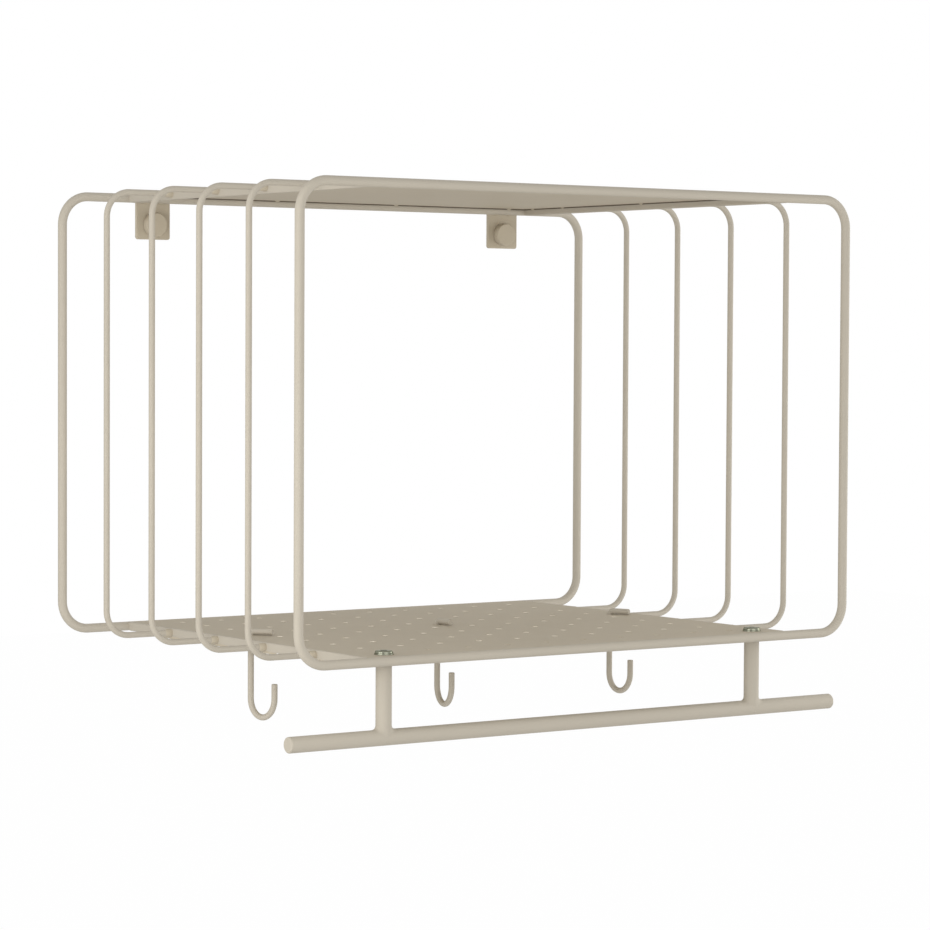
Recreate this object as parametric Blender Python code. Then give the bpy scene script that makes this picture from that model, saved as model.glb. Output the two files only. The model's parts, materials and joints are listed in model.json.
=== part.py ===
"""Wall-mounted hat shelf: two sheets held in bent round bar, with a coat rail and three wire hooks.

Lengths are in metres and +Z is up. The origin is on the wall, midway between the two wall holes.
The wall is the plane Y = 0, the shelf stands out from it towards -Y, and +X is to the right of
someone who faces it.
"""

import math

import bmesh
import bpy
from mathutils import Matrix

# Whole shelf, over the outsides of its bars
WIDTH = 0.440
HEIGHT = 0.296
DEPTH = 0.300

# Bent bars: a thick closed loop at the front and the back, thinner open rods between them
LOOP_BAR = 0.006
LOOP_BEND = 0.019
ROD_BAR = 0.004
ROD_BEND = 0.0165
PLANE_COUNT = 6

# Flat bars along each side of the two sheets
SIDE_BAR_THICKNESS = 0.0025
SIDE_BAR_HEIGHT = 0.006
SIDE_BAR_EDGE = 0.001
SIDE_WINDOW = 0.0525

# Sheets, and the holes punched through the lower one
SHEET = 0.0015
HOLE = 0.0045
HOLE_PITCH_ACROSS = 0.0305
HOLE_PITCH_DEEP = 0.031
HOLE_MARGIN = 0.015

# Wall tabs under the back loop's top bar, and the caps over their screw holes
WALL_HOLE = 0.0055
WALL_HOLE_DROP = 0.0205
TAB_INSET = 0.073
TAB_WIDTH = 0.026
TAB_THICKNESS = 0.0025
TAB_BELOW_HOLE = 0.010
TAB_CORNER = 0.0018
CAP = 0.016
CAP_HEIGHT = 0.005
CAP_WALL = 0.0012
CAP_EDGE = 0.0005

# Coat rail and the posts that carry it
RAIL = 0.010
RAIL_DROP = 0.045
RAIL_OVERHANG = 0.0695
RAIL_CHAMFER = 0.0008
POST = 0.010
POST_INSET = 0.0172
POST_BEHIND_FRONT = 0.012

# Screw with a flat round head on a thin collar, from above into each post
SCREW = 0.005
SCREW_LENGTH = 0.016
SCREW_COLLAR = 0.012
SCREW_COLLAR_HEIGHT = 0.0006
SCREW_HEAD = 0.0112
SCREW_HEAD_HEIGHT = 0.0022
SCREW_HEAD_ROUND = 0.0011
SCREW_SOCKET = 0.004
SCREW_SOCKET_DEPTH = 0.0014
SCREW_TIP_CHAMFER = 0.0007
SCREW_TIP_ROOM = 0.001

# Wire hooks that hang in holes of their own and turn there
HOOK_WIRE = 0.004
HOOK_PLAY = 0.0007
HOOK_INSET = 0.0167
HOOK_BEHIND_MIDDLE = 0.0186
HOOK_LEG = 0.0155
HOOK_BEND_INSIDE = 0.001
HOOK_DROP = 0.054
HOOK_MOUTH = 0.0128
HOOK_MOUTH_DEPTH = 0.0125
HOOK_TIP_RISE = 0.024
HOOK_TURNS = {"left": 34.5, "middle": 0.5, "right": 23}

# Clearance between pieces that touch, and how far a cutter runs past what it cuts
GAP = 0.0003
OVERRUN = 0.002
SAME_PLACE = 0.00001

# Facets
BAR_RESOLUTION = 4
WIRE_RESOLUTION = 4
BEND_STEPS = 8
HOOK_BEND_STEPS = 5
MOUTH_STEPS = 14
CORNER_STEPS = 4
EDGE_STEPS = 2
HEAD_STEPS = 4
POST_SIDES = 24
SCREW_SIDES = 16
PUNCH_SIDES = 12
SMOOTH_ANGLE = math.radians(35)

# Places that follow from the sizes above
SIDES = {"left": -1, "right": 1}
TOP = WALL_HOLE_DROP
BOTTOM = TOP - HEIGHT
TOP_BAR_Z = TOP - LOOP_BAR / 2
BOTTOM_BAR_Z = BOTTOM + LOOP_BAR / 2
BACK_Y = -LOOP_BAR / 2
FRONT_Y = -DEPTH + LOOP_BAR / 2
MIDDLE_Y = (FRONT_Y + BACK_Y) / 2
SIDE_BAR_OUTSIDE = WIDTH / 2 - SIDE_WINDOW
SHEET_HALF_WIDTH = SIDE_BAR_OUTSIDE - SIDE_BAR_THICKNESS - GAP
SHEET_TOP = BOTTOM + LOOP_BAR
SHEET_UNDERSIDE = SHEET_TOP - SHEET
POST_X = SHEET_HALF_WIDTH - POST_INSET
POST_Y = FRONT_Y + POST_BEHIND_FRONT
RAIL_Z = BOTTOM - RAIL_DROP
HOOK_X = SHEET_HALF_WIDTH - HOOK_INSET
HOOK_Y = MIDDLE_Y + HOOK_BEHIND_MIDDLE
TAB_X = WIDTH / 2 - TAB_INSET


def clear_scene():
    """Take away whatever the scene holds."""
    for item in list(bpy.data.objects):
        bpy.data.objects.remove(item, do_unlink=True)


def finish_material(name, colour, roughness, metallic):
    """A Principled material of one finish."""
    material = bpy.data.materials.new(name)
    material.use_nodes = True
    shader = material.node_tree.nodes["Principled BSDF"]
    shader.inputs["Base Color"].default_value = (*colour, 1)
    shader.inputs["Roughness"].default_value = roughness
    shader.inputs["Metallic"].default_value = metallic
    return material


def shelf_paint():
    """Warm grey powder coat of the bars, sheets and hooks."""
    return finish_material("shelf_paint", (0.47, 0.42, 0.33), 0.5, 0)


def cap_paint():
    """The same warm grey on the caps."""
    return finish_material("cap_paint", (0.47, 0.42, 0.33), 0.45, 0)


def screw_zinc():
    """Bright zinc of the screws."""
    return finish_material("screw_zinc", (0.72, 0.73, 0.70), 0.25, 1)


def place(name, data, material, location=(0, 0, 0), rotation=(0, 0, 0)):
    """An object of the mesh or curve, in its place under the shelf's own empty."""
    piece = bpy.data.objects.new(name, data)
    piece.location = location
    piece.rotation_euler = rotation
    piece.parent = SHELF
    if material:
        data.materials.append(material)
    bpy.context.collection.objects.link(piece)
    return piece


def solid(name, mesh, material, location=(0, 0, 0), rotation=(0, 0, 0)):
    """An object of the bmesh, smooth but for its sharp edges."""
    bmesh.ops.recalc_face_normals(mesh, faces=mesh.faces)
    data = bpy.data.meshes.new(name)
    mesh.to_mesh(data)
    mesh.free()
    data.shade_smooth()
    data.set_sharp_from_angle(angle=SMOOTH_ANGLE)
    return place(name, data, material, location, rotation)


def cut(piece, cutter):
    """Take the cutter's shape out of the piece."""
    cutter.hide_render = True
    cutter.display_type = "WIRE"
    modifier = piece.modifiers.new(cutter.name, "BOOLEAN")
    modifier.operation = "DIFFERENCE"
    modifier.solver = "EXACT"
    modifier.object = cutter


def arc(across, up, radius, start, end, steps):
    """Points of an arc round (across, up), its angles in degrees from the across direction."""
    points = []
    for step in range(steps + 1):
        angle = math.radians(start + (end - start) * step / steps)
        points.append((across + radius * math.cos(angle), up + radius * math.sin(angle)))
    return points


def bent_bar(name, points, diameter, resolution, closed, location, rotation=(0, 0, 0)):
    """A round bar bent along (across, up) points, its ends flat or joined in a loop."""
    curve = bpy.data.curves.new(name, "CURVE")
    curve.dimensions = "3D"
    curve.bevel_depth = diameter / 2
    curve.bevel_resolution = resolution
    curve.use_fill_caps = not closed
    spline = curve.splines.new("POLY")
    spline.points.add(len(points) - 1)
    for point, (across, up) in zip(spline.points, points):
        point.co = (across, 0, up, 1)
    spline.use_cyclic_u = closed
    return place(name, curve, PAINT, location, rotation)


def turned(name, profile, sides, material, location=(0, 0, 0), rotation=(0, 0, 0)):
    """A solid turned about its own Z from (radius, height) points that start and end on it."""
    mesh = bmesh.new()
    points = [mesh.verts.new((radius, 0, height)) for radius, height in profile]
    edges = [mesh.edges.new(pair) for pair in zip(points, points[1:])]
    bmesh.ops.spin(
        mesh,
        geom=points + edges,
        cent=(0, 0, 0),
        axis=(0, 0, 1),
        angle=math.tau,
        steps=sides,
        use_merge=True,
    )
    bmesh.ops.remove_doubles(mesh, verts=mesh.verts, dist=SAME_PLACE)
    return solid(name, mesh, material, location, rotation)


def pin(mesh, x, y, low, high, radius, sides):
    """Add one upright round pin to a mesh."""
    bmesh.ops.create_cone(
        mesh,
        cap_ends=True,
        segments=sides,
        radius1=radius,
        radius2=radius,
        depth=high - low,
        matrix=Matrix.Translation((x, y, (low + high) / 2)),
    )


def slab(name, low, high):
    """A flat rectangular piece between its lowest and highest corners."""
    size = [top - bottom for bottom, top in zip(low, high)]
    centre = [(top + bottom) / 2 for bottom, top in zip(low, high)]
    mesh = bmesh.new()
    bmesh.ops.create_cube(mesh, size=1, matrix=Matrix.Diagonal((*size, 1)))
    return solid(name, mesh, PAINT, centre)


def end_loop(name, y):
    """One closed loop of thick bar, standing across the shelf."""
    half_width = (WIDTH - LOOP_BAR) / 2 - LOOP_BEND
    low = BOTTOM_BAR_Z + LOOP_BEND
    high = TOP_BAR_Z - LOOP_BEND
    points = arc(half_width, high, LOOP_BEND, 90, 0, BEND_STEPS)
    points += arc(half_width, low, LOOP_BEND, 0, -90, BEND_STEPS)
    points += arc(-half_width, low, LOOP_BEND, 270, 180, BEND_STEPS)
    points += arc(-half_width, high, LOOP_BEND, 180, 90, BEND_STEPS)
    bent_bar(name, points, LOOP_BAR, BAR_RESOLUTION, True, (0, y, 0))


def side_rod(name, side, y):
    """One thin rod round a side, from the upper side bar to the lower one.

    It is flush with the loops on its inner side and along its top.
    """
    inner_end = SIDE_BAR_OUTSIDE + GAP
    upright = WIDTH / 2 - LOOP_BAR + ROD_BAR / 2
    high = TOP - ROD_BAR / 2
    low = BOTTOM_BAR_Z
    points = [(inner_end, high)]
    points += arc(upright - ROD_BEND, high - ROD_BEND, ROD_BEND, 90, 0, BEND_STEPS)
    points += arc(upright - ROD_BEND, low + ROD_BEND, ROD_BEND, 0, -90, BEND_STEPS)
    points += [(inner_end, low)]
    points = [(side * across, up) for across, up in points]
    bent_bar(name, points, ROD_BAR, WIRE_RESOLUTION, False, (0, y, 0))


def side_bar(name, side, z):
    """One flat bar on edge, from the front loop to the back one beside a sheet."""
    outside = side * SIDE_BAR_OUTSIDE
    inside = side * (SIDE_BAR_OUTSIDE - SIDE_BAR_THICKNESS)
    end = LOOP_BAR / 2 + GAP
    low = (min(outside, inside), FRONT_Y + end, z - SIDE_BAR_HEIGHT / 2)
    high = (max(outside, inside), BACK_Y - end, z + SIDE_BAR_HEIGHT / 2)
    bar = slab(name, low, high)
    edge = bar.modifiers.new("eased edges", "BEVEL")
    edge.width = SIDE_BAR_EDGE
    edge.segments = EDGE_STEPS


def sheet(name, top):
    """One sheet between the loops and the side bars, its top level with theirs.

    Its lower corners seat on the loops' bars, a clearance off their round sides.
    """
    corner_height = max(LOOP_BAR / 2 - SHEET, 0)
    reach = math.sqrt((LOOP_BAR / 2 + GAP) ** 2 - corner_height**2)
    low = (-SHEET_HALF_WIDTH, FRONT_Y + reach, top - SHEET)
    high = (SHEET_HALF_WIDTH, BACK_Y - reach, top)
    return slab(name, low, high)


def punched_places():
    """Middles of the punched holes: an odd count of rows, and columns either side of the middle."""
    half_columns = int((SHEET_HALF_WIDTH - HOLE_MARGIN) / HOLE_PITCH_ACROSS + 1 / 2)
    half_rows = int(((BACK_Y - FRONT_Y) / 2 - HOLE_MARGIN) / HOLE_PITCH_DEEP)
    places = []
    for column in range(-half_columns, half_columns):
        for row in range(-half_rows, half_rows + 1):
            places.append(((column + 1 / 2) * HOLE_PITCH_ACROSS, MIDDLE_Y + row * HOLE_PITCH_DEEP))
    return places


def make_sheets():
    """The plain upper sheet, and the lower one with its holes for air, hooks and screws."""
    sheet("top_sheet", TOP)
    bottom_sheet = sheet("bottom_sheet", SHEET_TOP)
    low = SHEET_UNDERSIDE - OVERRUN
    high = SHEET_TOP + OVERRUN
    punch = bmesh.new()
    for x, y in punched_places():
        pin(punch, x, y, low, high, HOLE / 2, PUNCH_SIDES)
    for x in (-HOOK_X, 0, HOOK_X):
        pin(punch, x, HOOK_Y, low, high, HOOK_WIRE / 2 + HOOK_PLAY, PUNCH_SIDES)
    for x in (-POST_X, POST_X):
        pin(punch, x, POST_Y, low, high, SCREW / 2 + GAP, SCREW_SIDES)
    cut(bottom_sheet, solid("sheet_punch", punch, None))


def make_loops_and_rods():
    """The loops at both ends of the shelf, and the rods spaced evenly between them."""
    end_loop("loop_front", FRONT_Y)
    end_loop("loop_back", BACK_Y)
    spacing = (BACK_Y - FRONT_Y) / (PLANE_COUNT - 1)
    for label, side in SIDES.items():
        for number in range(2, PLANE_COUNT):
            side_rod(f"side_rod_{label}_{number}", side, FRONT_Y + (number - 1) * spacing)


def make_side_bars():
    """The four flat bars that close the sides of the sheets and carry the rods' ends."""
    for label, side in SIDES.items():
        side_bar(f"side_bar_top_{label}", side, TOP - SIDE_BAR_HEIGHT / 2)
        side_bar(f"side_bar_bottom_{label}", side, SHEET_TOP - SIDE_BAR_HEIGHT / 2)


def wall_tab(name, x):
    """A tab down the wall from the back loop: round lower corners, a screw hole, a coped top."""
    half = TAB_WIDTH / 2
    across = half - TAB_CORNER
    up = TAB_CORNER - TAB_BELOW_HOLE
    outline = arc(-across, up, TAB_CORNER, 180, 270, CORNER_STEPS)
    outline += arc(across, up, TAB_CORNER, 270, 360, CORNER_STEPS)
    outline += [(half, TOP_BAR_Z), (-half, TOP_BAR_Z)]
    mesh = bmesh.new()
    corners = [mesh.verts.new((across, -TAB_THICKNESS, up)) for across, up in outline]
    front = mesh.faces.new(corners)
    pushed = bmesh.ops.extrude_face_region(mesh, geom=[front])["geom"]
    back_corners = [item for item in pushed if isinstance(item, bmesh.types.BMVert)]
    bmesh.ops.translate(mesh, verts=back_corners, vec=(0, TAB_THICKNESS, 0))
    tab = solid(name, mesh, PAINT, (x, 0, 0))

    depth = TAB_THICKNESS / 2 + OVERRUN
    drill = bmesh.new()
    pin(drill, 0, 0, -depth, depth, WALL_HOLE / 2, SCREW_SIDES)
    turn = (math.radians(90), 0, 0)
    cut(tab, solid(f"{name}_drill", drill, None, (x, -TAB_THICKNESS / 2, 0), turn))

    cope = bmesh.new()
    pin(cope, 0, 0, -half - OVERRUN, half + OVERRUN, LOOP_BAR / 2 + GAP, POST_SIDES)
    turn = (0, math.radians(90), 0)
    cut(tab, solid(f"{name}_cope", cope, None, (x, BACK_Y, TOP_BAR_Z), turn))


def wall_cap(name, x):
    """A round cap, hollow behind, that covers a tab's screw hole."""
    outside = CAP / 2
    inside = outside - CAP_WALL
    profile = [
        (0, CAP_HEIGHT),
        (outside - CAP_EDGE, CAP_HEIGHT),
        (outside, CAP_HEIGHT - CAP_EDGE),
        (outside, 0),
        (inside, 0),
        (inside, CAP_HEIGHT - CAP_WALL),
        (0, CAP_HEIGHT - CAP_WALL),
    ]
    foot = (x, -TAB_THICKNESS - GAP, 0)
    turned(name, profile, POST_SIDES, CAP_PAINT, foot, (math.radians(90), 0, 0))


def make_wall_fixings():
    """Both wall tabs with their caps."""
    for label, side in SIDES.items():
        wall_tab(f"wall_tab_{label}", side * TAB_X)
        wall_cap(f"wall_cap_{label}", side * TAB_X)


def rail_bar(name, radius, half_length, chamfer, material, location):
    """A straight round bar along X with chamfered ends."""
    profile = [
        (0, -half_length),
        (radius - chamfer, -half_length),
        (radius, chamfer - half_length),
        (radius, half_length - chamfer),
        (radius - chamfer, half_length),
        (0, half_length),
    ]
    return turned(name, profile, POST_SIDES, material, location, (0, math.radians(90), 0))


def make_coat_rail():
    """The straight rail below the front edge."""
    length = POST_X + RAIL_OVERHANG
    rail_bar("coat_rail", RAIL / 2, length, RAIL_CHAMFER, PAINT, (0, POST_Y, RAIL_Z))


def rail_post(name, x):
    """A post between the lower sheet and the rail, bored for its screw and coped on the rail."""
    top = SHEET_UNDERSIDE - GAP
    bore = SCREW / 2 + GAP
    screw_tip = SHEET_TOP + GAP - SCREW_LENGTH
    bore_end = screw_tip - SCREW_TIP_ROOM - top
    profile = [
        (0, RAIL_Z - top),
        (POST / 2, RAIL_Z - top),
        (POST / 2, 0),
        (bore, 0),
        (bore, bore_end),
        (0, bore_end),
    ]
    post = turned(name, profile, POST_SIDES, PAINT, (x, POST_Y, top))
    reach = POST / 2 + OVERRUN
    place_of_rail = (x, POST_Y, RAIL_Z)
    cut(post, rail_bar(f"{name}_cope", RAIL / 2 + GAP, reach, OVERRUN / 2, None, place_of_rail))


def rail_screw(name, x):
    """A screw with a flat head, round at its shoulder, a thin collar and a hexagon socket."""
    shank = SCREW / 2
    shoulder = SCREW_HEAD / 2 - SCREW_HEAD_ROUND
    up = SCREW_HEAD_HEIGHT - SCREW_HEAD_ROUND
    profile = [(0, SCREW_HEAD_HEIGHT)]
    profile += arc(shoulder, up, SCREW_HEAD_ROUND, 90, 0, HEAD_STEPS)
    profile += [
        (SCREW_HEAD / 2, SCREW_COLLAR_HEIGHT),
        (SCREW_COLLAR / 2, SCREW_COLLAR_HEIGHT),
        (SCREW_COLLAR / 2, 0),
        (shank, 0),
        (shank, SCREW_TIP_CHAMFER - SCREW_LENGTH),
        (shank - SCREW_TIP_CHAMFER, -SCREW_LENGTH),
        (0, -SCREW_LENGTH),
    ]
    seat = (x, POST_Y, SHEET_TOP + GAP)
    screw = turned(name, profile, SCREW_SIDES, ZINC, seat)
    socket = bmesh.new()
    low = SCREW_HEAD_HEIGHT - SCREW_SOCKET_DEPTH
    radius = SCREW_SOCKET / 2 / math.cos(math.radians(30))
    pin(socket, 0, 0, low, SCREW_HEAD_HEIGHT + OVERRUN, radius, 6)
    cut(screw, solid(f"{name}_socket", socket, None, seat))


def make_rail_carriers():
    """The posts and their screws."""
    for label, side in SIDES.items():
        rail_post(f"rail_post_{label}", side * POST_X)
        rail_screw(f"rail_screw_{label}", side * POST_X)


def hook(name, x, turn):
    """A wire hook: a leg that lies on the sheet, a straight drop and an upturned mouth.

    Its own axis is the straight wire, on which it turns in its hole. Its origin is on that axis,
    where the bend under the leg starts.
    """
    bend = HOOK_WIRE / 2 + HOOK_BEND_INSIDE
    mouth = (HOOK_WIRE + HOOK_MOUTH) / 2
    bend_start = SHEET_TOP + GAP - HOOK_BEND_INSIDE
    lowest = SHEET_UNDERSIDE - HOOK_DROP - bend_start
    mouth_start = lowest + HOOK_WIRE / 2 + HOOK_MOUTH_DEPTH
    # The bend starts a little way down the hole, whose play leaves room for its slight lean there.
    points = [(HOOK_LEG, bend)]
    points += arc(bend, 0, bend, 90, 180, HOOK_BEND_STEPS)
    deeper = HOOK_MOUTH_DEPTH / mouth
    for across, up in arc(mouth, 0, mouth, 180, 360, MOUTH_STEPS):
        points.append((across, mouth_start + up * deeper))
    points += [(2 * mouth, lowest + HOOK_TIP_RISE)]
    # The leg runs along the hook's own +X, which a quarter turn back points away from the wall.
    rotation = (0, 0, math.radians(turn - 90))
    bent_bar(name, points, HOOK_WIRE, WIRE_RESOLUTION, False, (x, HOOK_Y, bend_start), rotation)


def make_hooks():
    """Three hooks in a row, each turned a little differently, as loose hooks come to rest."""
    places = {"left": -HOOK_X, "middle": 0, "right": HOOK_X}
    for label, x in places.items():
        hook(f"hook_{label}", x, HOOK_TURNS[label])


clear_scene()
SHELF = bpy.data.objects.new("hat_shelf", None)
bpy.context.collection.objects.link(SHELF)
PAINT = shelf_paint()
CAP_PAINT = cap_paint()
ZINC = screw_zinc()

make_loops_and_rods()
make_side_bars()
make_sheets()
make_wall_fixings()
make_coat_rail()
make_rail_carriers()
make_hooks()
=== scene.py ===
"""Finish of a wall-mounted hat shelf: powder-coated bars and sheets, welds, hooks and zinc screws.

Lengths are in metres. The wall is the plane Y = 0, the shelf stands out towards -Y, and +Z is up.
"""

import json
import math

import bmesh
import bpy
from mathutils import Euler, Matrix, Vector


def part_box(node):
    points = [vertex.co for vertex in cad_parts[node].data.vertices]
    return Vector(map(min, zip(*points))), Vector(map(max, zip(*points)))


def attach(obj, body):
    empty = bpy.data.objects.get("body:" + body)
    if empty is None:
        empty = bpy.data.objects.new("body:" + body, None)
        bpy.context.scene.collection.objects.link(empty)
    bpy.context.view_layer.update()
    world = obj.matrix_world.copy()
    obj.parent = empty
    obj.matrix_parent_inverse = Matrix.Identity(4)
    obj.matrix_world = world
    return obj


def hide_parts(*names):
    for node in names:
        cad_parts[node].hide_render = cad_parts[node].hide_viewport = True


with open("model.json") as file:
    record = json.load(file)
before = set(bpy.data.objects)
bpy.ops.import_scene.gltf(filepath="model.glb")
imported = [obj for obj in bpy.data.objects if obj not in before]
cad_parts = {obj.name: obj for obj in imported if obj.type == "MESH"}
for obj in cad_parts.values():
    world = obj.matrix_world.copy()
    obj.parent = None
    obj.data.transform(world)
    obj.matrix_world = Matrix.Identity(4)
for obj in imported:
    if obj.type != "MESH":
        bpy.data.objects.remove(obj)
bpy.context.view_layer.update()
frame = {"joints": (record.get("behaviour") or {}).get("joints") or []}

bl_info = {
    "name": "Hat Shelf",
    "version": (1, 0, 0),
    "blender": (4, 5, 0),
    "location": "3D View > Sidebar > Hat Shelf",
    "description": "A painted wall shelf for hats with its welds, wire hooks and coat rail",
    "category": "Add Mesh",
}

MAIN_BODY = "frame"
SIDES = {"left": -1, "right": 1}
RODS = [f"side_rod_{side}_{number}" for side in SIDES for number in range(2, 6)]
SIDE_BARS = [f"side_bar_{level}_{side}" for level in ("top", "bottom") for side in SIDES]

# Sizes read off the frame
LOOP_LOW, LOOP_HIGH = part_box("loop_front")
LOOP_BAR = LOOP_HIGH.y - LOOP_LOW.y
ROD_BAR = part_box("side_rod_left_2")[1].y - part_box("side_rod_left_2")[0].y
RAIL_LOW, RAIL_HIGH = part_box("coat_rail")
RAIL_BAR = RAIL_HIGH.z - RAIL_LOW.z
RAIL_CENTRE = (RAIL_LOW + RAIL_HIGH) / 2
SHEET_LOW, SHEET_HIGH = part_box("bottom_sheet")
SIDE_BAR_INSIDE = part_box("side_bar_top_right")[0].x
SIDE_BAR_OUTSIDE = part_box("side_bar_top_right")[1].x
SIDE_BAR_THICKNESS = SIDE_BAR_OUTSIDE - SIDE_BAR_INSIDE
MIDDLE_Y = (SHEET_LOW.y + SHEET_HIGH.y) / 2
SEAM_GAP = 0.0003

# Small measures of the finished pieces
SHEET_OVER_BAR = 0.8
HOOK_HOLE_PLAY = 0.0007
SCREW_HOLE = 0.0056
# Inset of the painted light that lines the punched holes' walls
HOLE_LIGHT_INSET = 0.00003
TAB_CORNER = 0.0018
CAP_WALL = 0.0012
CAP_EDGE = 1.5
RAIL_EDGE = 0.0012
SCREW_COLLAR_RIM = 0.0004
SCREW_COLLAR_HEIGHT = 0.0008
SCREW_HEAD_ROUND = 0.0011
SCREW_HEAD_FOOT = 0.0009
SCREW_SOCKET_DEPTH = 0.0014
SCREW_TIP = 0.0006
SCREW_TIP_SHARE = 0.8
SCREW_EDGE = 0.0002
HOOK_TIP_EDGE = 0.0003

# Welds and the painted shadow line beside the upper sheet
WELD_ROOT = 0.9
UNDER_BAR_LENGTH = 0.026
UNDER_BAR_HEIGHT = 0.0013
STITCHES_ACROSS = (-0.150, -0.050, 0.050, 0.150)
STITCHES_DEEP = (-0.262, -0.143, -0.052, -0.016)
STITCH_WIDTH = 0.0024
STITCH_HEIGHT = 0.0010
STITCH_SINK = 0.0001
TAB_STITCH_WIDTH = 0.0026
TAB_STITCH_HEIGHT = 0.0006
TAB_STITCH_STAND = 0.0004
TAB_STITCH_SPREAD = 0.006
# Size of the painted shadow strips under the upper sheet's edges
SEAM_SHADOW_WIDTH = 0.0007
SEAM_SHADOW_DEPTH = 0.0007
BEAD_STEPS = 14
BEAD_SIDES = 12
BEAD_RIPPLES = 4
BEAD_RIPPLE_DEPTH = 0.08
BEAD_BLUNT_END = 0.02

# Floor, surround and lamps
FLOOR_HALF = 6.0
FLOOR_LEVEL = -0.9
FLOOR_WHITENESS = 0.985
SURROUND_LIGHT = 0.67
LAMPS_AIM = Vector((0, -0.15, -0.13))
LAMPS = (
    ("left_light", Vector((-0.85, -0.25, -0.03)), 3.6, 0.6),
    ("right_light", Vector((0.85, -0.3, -0.03)), 3.0, 0.6),
    ("front_light", Vector((-0.25, -1.6, -0.03)), 6.3, 1.2),
)

# Photograph's view, in the shelf's own frame
CAMERA_PLACE = Vector((-1.23714, -1.89694, -0.07741))
CAMERA_YAW = 0.61963
CAMERA_PITCH = -0.03904
CAMERA_ROLL = 0.00494
CAMERA_LENS = 123.564
CAMERA_SENSOR = 36

# Facets of the finished surfaces
BAR_SIDES = 32
WIRE_SIDES = 24
BEND_STEPS = 14
EASE_STEPS = 3
TURNED_SIDES = 60
RIM_SIDES = 28
SMOOTH_ANGLE = math.radians(32)
FLAT_FACE = 0.9999


class HatShelfSizes(bpy.types.PropertyGroup):
    """Sizes of the finished shelf that the frame leaves open."""

    loop_bend: bpy.props.FloatProperty(
        name="Loop bend",
        description="Bend radius of the thick loops, to the middle of the bar",
        default=0.019,
        subtype="DISTANCE",
        unit="LENGTH",
    )
    rod_bend: bpy.props.FloatProperty(
        name="Rod bend",
        description="Bend radius of the side rods, to the middle of the rod",
        default=0.0165,
        subtype="DISTANCE",
        unit="LENGTH",
    )
    eased_edge: bpy.props.FloatProperty(
        name="Eased edge",
        description="Rounding that the paint leaves on cut edges",
        default=0.0004,
        subtype="DISTANCE",
        unit="LENGTH",
    )
    hole: bpy.props.FloatProperty(
        name="Hole",
        description="Diameter of the punched holes",
        default=0.0045,
        subtype="DISTANCE",
        unit="LENGTH",
    )
    hole_pitch_across: bpy.props.FloatProperty(
        name="Hole pitch across",
        description="Spacing of the punched holes from left to right",
        default=0.0305,
        subtype="DISTANCE",
        unit="LENGTH",
    )
    hole_pitch_deep: bpy.props.FloatProperty(
        name="Hole pitch deep",
        description="Spacing of the punched holes from front to back",
        default=0.031,
        subtype="DISTANCE",
        unit="LENGTH",
    )
    bar_edge: bpy.props.FloatProperty(
        name="Bar edge",
        description="Rounding along the flat bars beside the sheets",
        default=0.001,
        subtype="DISTANCE",
        unit="LENGTH",
    )
    weld_collar: bpy.props.FloatProperty(
        name="Weld collar",
        description="Leg of the small weld round each rod end",
        default=0.0007,
        subtype="DISTANCE",
        unit="LENGTH",
    )
    weld_length: bpy.props.FloatProperty(
        name="Weld length",
        description="How far the weld runs out along each rod",
        default=0.0045,
        subtype="DISTANCE",
        unit="LENGTH",
    )
    rail_weld: bpy.props.FloatProperty(
        name="Rail weld",
        description="Leg of the weld between each post and the coat rail",
        default=0.0038,
        subtype="DISTANCE",
        unit="LENGTH",
    )
    stitch_length: bpy.props.FloatProperty(
        name="Stitch length",
        description="Length of the short welds along the sheets' edges",
        default=0.005,
        subtype="DISTANCE",
        unit="LENGTH",
    )
    screw: bpy.props.FloatProperty(
        name="Screw",
        description="Diameter of the rail screws' shanks",
        default=0.005,
        subtype="DISTANCE",
        unit="LENGTH",
    )
    screw_socket: bpy.props.FloatProperty(
        name="Screw socket",
        description="Width of the hexagon sockets across the flats",
        default=0.004,
        subtype="DISTANCE",
        unit="LENGTH",
    )
    hook_leg: bpy.props.FloatProperty(
        name="Hook leg",
        description="How far each hook's upper leg reaches from its straight wire",
        default=0.0155,
        subtype="DISTANCE",
        unit="LENGTH",
    )
    hook_bend_inside: bpy.props.FloatProperty(
        name="Hook bend inside",
        description="Inner radius of the bend under each hook's leg",
        default=0.001,
        subtype="DISTANCE",
        unit="LENGTH",
    )
    hook_mouth_depth: bpy.props.FloatProperty(
        name="Hook mouth depth",
        description="Depth of each hook's mouth, to the middle of the wire",
        default=0.0125,
        subtype="DISTANCE",
        unit="LENGTH",
    )
    hook_tip_rise: bpy.props.FloatProperty(
        name="Hook tip rise",
        description="Height of each hook's tip over its lowest point",
        default=0.024,
        subtype="DISTANCE",
        unit="LENGTH",
    )


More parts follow.
